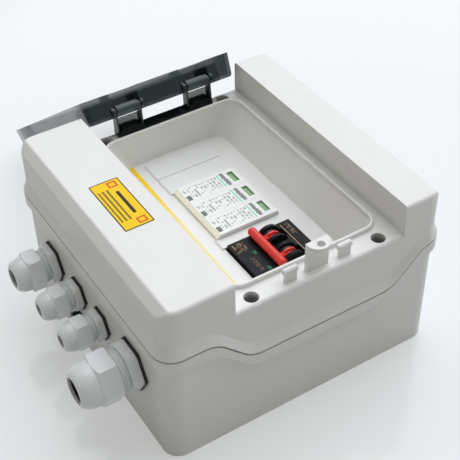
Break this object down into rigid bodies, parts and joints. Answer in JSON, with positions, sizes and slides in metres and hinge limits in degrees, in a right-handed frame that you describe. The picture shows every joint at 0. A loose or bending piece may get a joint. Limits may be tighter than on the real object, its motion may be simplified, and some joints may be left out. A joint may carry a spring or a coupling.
{
  "type": "dc combiner box",
  "caption": "Wall-mounting plastic box with cable glands, a tub for rail devices under a smoked window door, surge arrester cartridges and a switch with a red handle.",
  "frame": {"origin": "middle of the wall face, between the four fixing holes", "axes": "+Z out of the cover, +X to the lock side, -X to the hinge side, +Y to the top when hung, -Y to the glands"},
  "size_m": [0.3323, 0.2356, 0.1285],
  "materials": {
    "housing_grey": "satin light grey",
    "gland_grey": "satin grey nylon",
    "seal_black": "matte",
    "zinc_steel": "zinc plated",
    "brass": "machined",
    "device_white": "satin",
    "device_black": "satin",
    "handle_red": "semi-gloss",
    "blank_white": "satin",
    "hinge_black": "semi-gloss",
    "smoked_clear": "clear smoked polycarbonate"
  },
  "bodies": {
    "enclosure": {"base_shell": "housing_grey", "cover_shell": "housing_grey", "cover_seal": "seal_black", "cover_screws": "zinc_steel", "earth_bar": "brass", "earth_bar_screws": "zinc_steel", "din_rail": "zinc_steel", "rail_screws": "zinc_steel", "spd_base": "device_white", "spd_terminal_screws": "zinc_steel", "breaker_body": "device_black", "breaker_terminal_screws": "zinc_steel", "hinge_side_blank": "blank_white", "middle_blank": "blank_white", "lock_side_blank": "blank_white", "hinge_bracket": "hinge_black", "hinge_legs": "smoked_clear", "vent_plug": "hinge_black", "vent_nut": "hinge_black", "gland_1_body": "gland_grey", "gland_1_locknut": "gland_grey", "gland_1_washer": "seal_black", "gland_1_insert": "seal_black", "gland_2_body": "gland_grey", "gland_2_locknut": "gland_grey", "gland_2_washer": "seal_black", "gland_2_insert": "seal_black", "gland_3_body": "gland_grey", "gland_3_locknut": "gland_grey", "gland_3_washer": "seal_black", "gland_3_insert": "seal_black", "gland_4_body": "gland_grey", "gland_4_locknut": "gland_grey", "gland_4_washer": "seal_black", "gland_4_insert": "seal_black"},
    "door": {"window_door": "smoked_clear", "hinge_pins": "zinc_steel"},
    "switch_handle": {"breaker_handle": "handle_red"},
    "arrester_1": {"spd_cartridge_1": "device_white"},
    "arrester_2": {"spd_cartridge_2": "device_white"},
    "arrester_3": {"spd_cartridge_3": "device_white"},
    "gland_nut_1": {"gland_1_cap_nut": "gland_grey"},
    "gland_nut_2": {"gland_2_cap_nut": "gland_grey"},
    "gland_nut_3": {"gland_3_cap_nut": "gland_grey"},
    "gland_nut_4": {"gland_4_cap_nut": "gland_grey"}
  },
  "joints": [
    {"name": "door_hinge", "type": "hinge", "parent": "enclosure", "child": "door", "pos_m": [-0.0905, 0.008, 0.1172], "axis": [0, 1, 0], "range_deg": [0, 217.2]},
    {"name": "switch_handle_turn", "type": "hinge", "parent": "enclosure", "child": "switch_handle", "pos_m": [0.043, 0.013, 0.0775], "axis": [-1, 0, 0], "range_deg": [0, 75]},
    {"name": "arrester_1_pull", "type": "slide", "parent": "enclosure", "child": "arrester_1", "axis": [0, 0, 1], "range_m": [0, 0.028]},
    {"name": "arrester_2_pull", "type": "slide", "parent": "enclosure", "child": "arrester_2", "axis": [0, 0, 1], "range_m": [0, 0.028]},
    {"name": "arrester_3_pull", "type": "slide", "parent": "enclosure", "child": "arrester_3", "axis": [0, 0, 1], "range_m": [0, 0.028]},
    {"name": "gland_nut_1_turn", "type": "hinge", "parent": "enclosure", "child": "gland_nut_1", "pos_m": [-0.05357, -0.115, 0.0485], "axis": [0, -1, 0], "continuous": true},
    {"name": "gland_nut_2_turn", "type": "hinge", "parent": "enclosure", "child": "gland_nut_2", "pos_m": [-0.0186, -0.115, 0.0485], "axis": [0, -1, 0], "continuous": true},
    {"name": "gland_nut_3_turn", "type": "hinge", "parent": "enclosure", "child": "gland_nut_3", "pos_m": [0.01246, -0.115, 0.0485], "axis": [0, -1, 0], "continuous": true},
    {"name": "gland_nut_4_turn", "type": "hinge", "parent": "enclosure", "child": "gland_nut_4", "pos_m": [0.05301, -0.115, 0.05], "axis": [0, -1, 0], "continuous": true}
  ]
}
